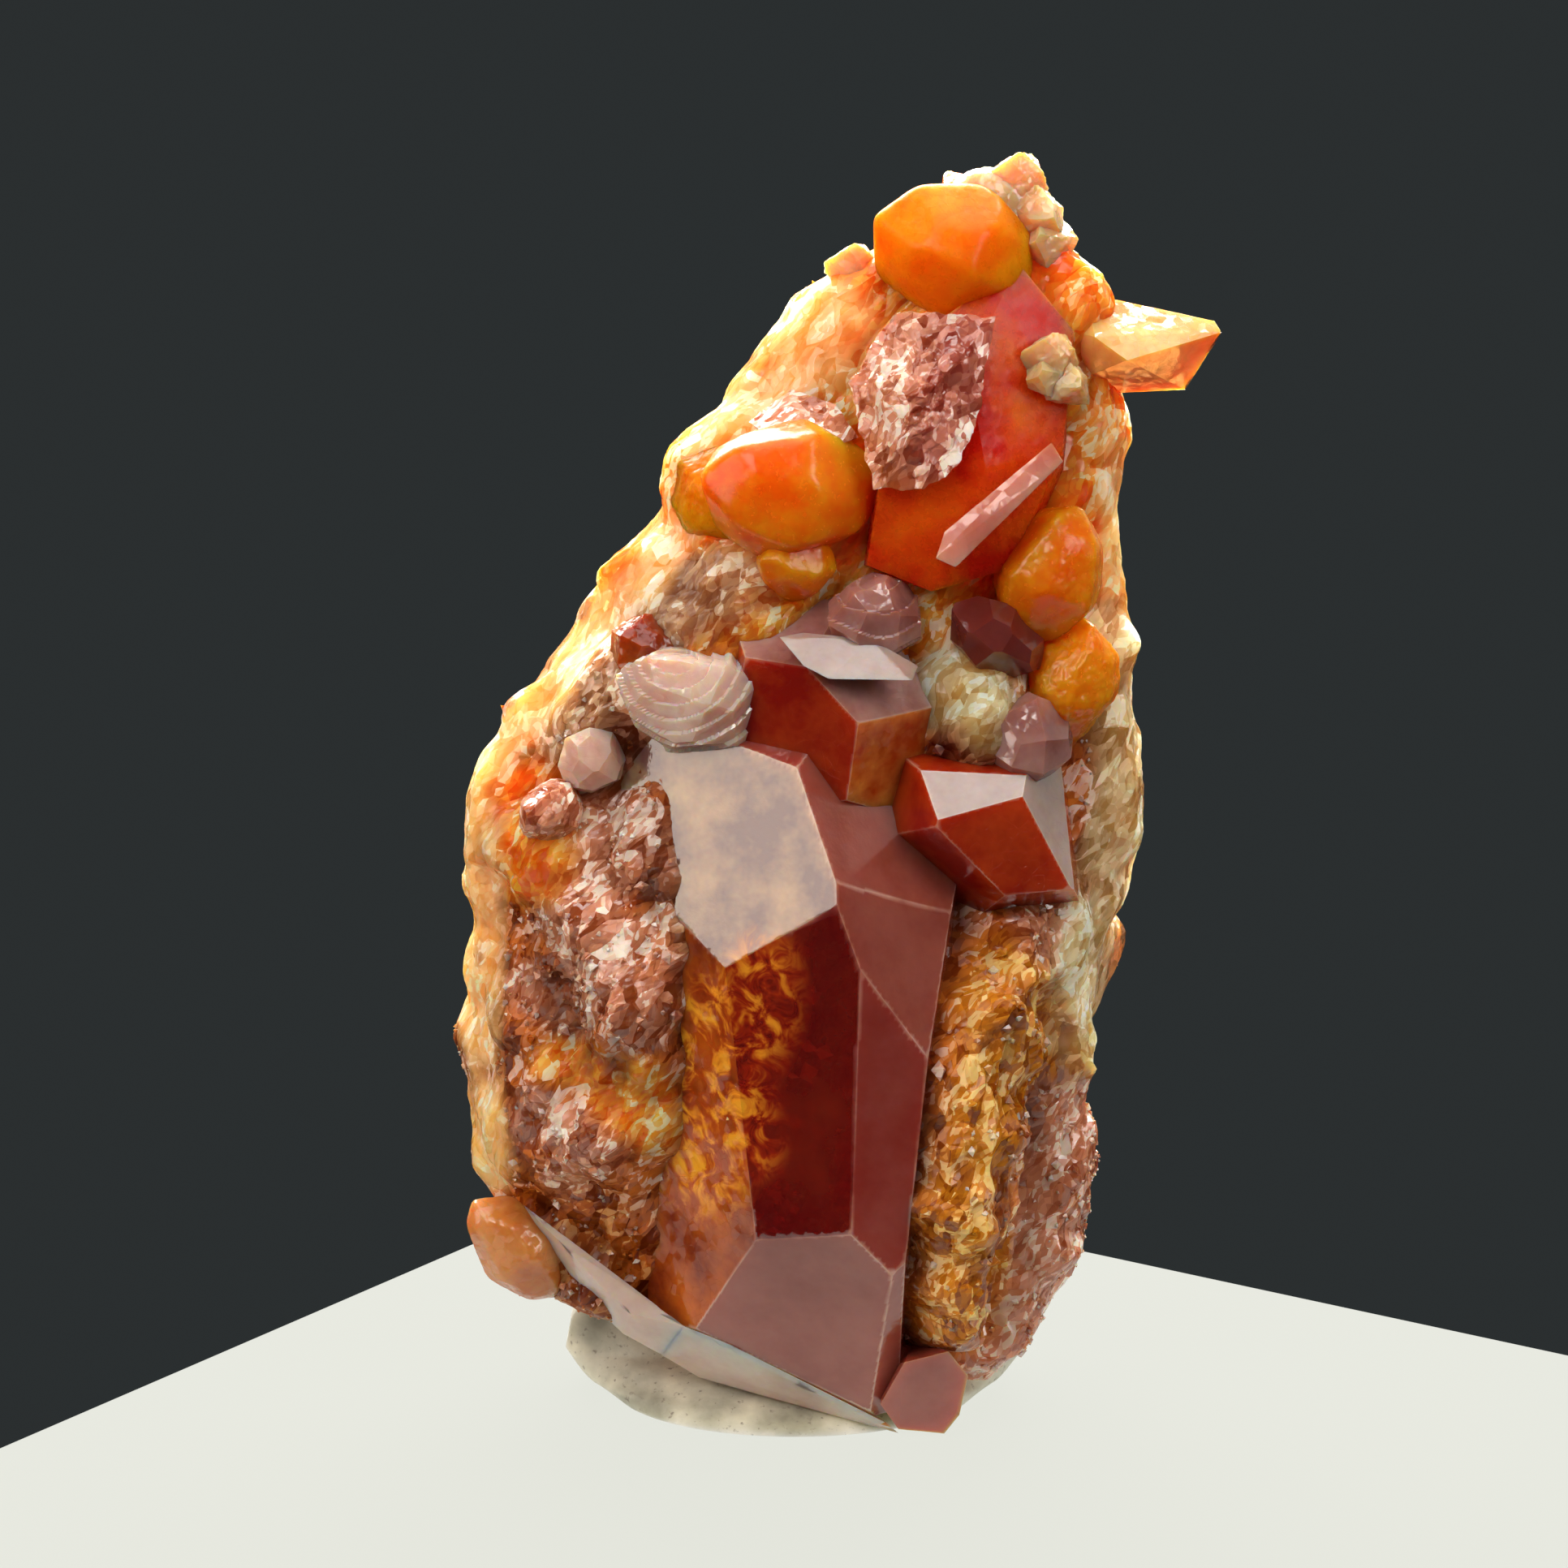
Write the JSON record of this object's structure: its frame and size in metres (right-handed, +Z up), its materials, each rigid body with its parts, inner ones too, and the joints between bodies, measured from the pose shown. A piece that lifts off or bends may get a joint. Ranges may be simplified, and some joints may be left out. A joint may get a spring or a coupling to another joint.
{
  "type": "mineral specimen",
  "caption": "Spessartine garnet specimen, orange to deep red crystals grown together, stood upright on a pad of pale mounting putty.",
  "frame": {"origin": "on the ground under the middle of the specimen's box, at the level of the putty's flat underside", "axes": "+Z up along the specimen's length, -Y towards its good side, +X to the right of someone who faces that side"},
  "size_m": [0.0172, 0.012, 0.029],
  "materials": {
    "garnet": "glassy crystal faces with etched and crusty zones between them",
    "putty": "matt, slightly translucent mounting putty"
  },
  "bodies": {
    "root": {"garnet": "garnet", "putty": "putty"}
  },
  "joints": []
}
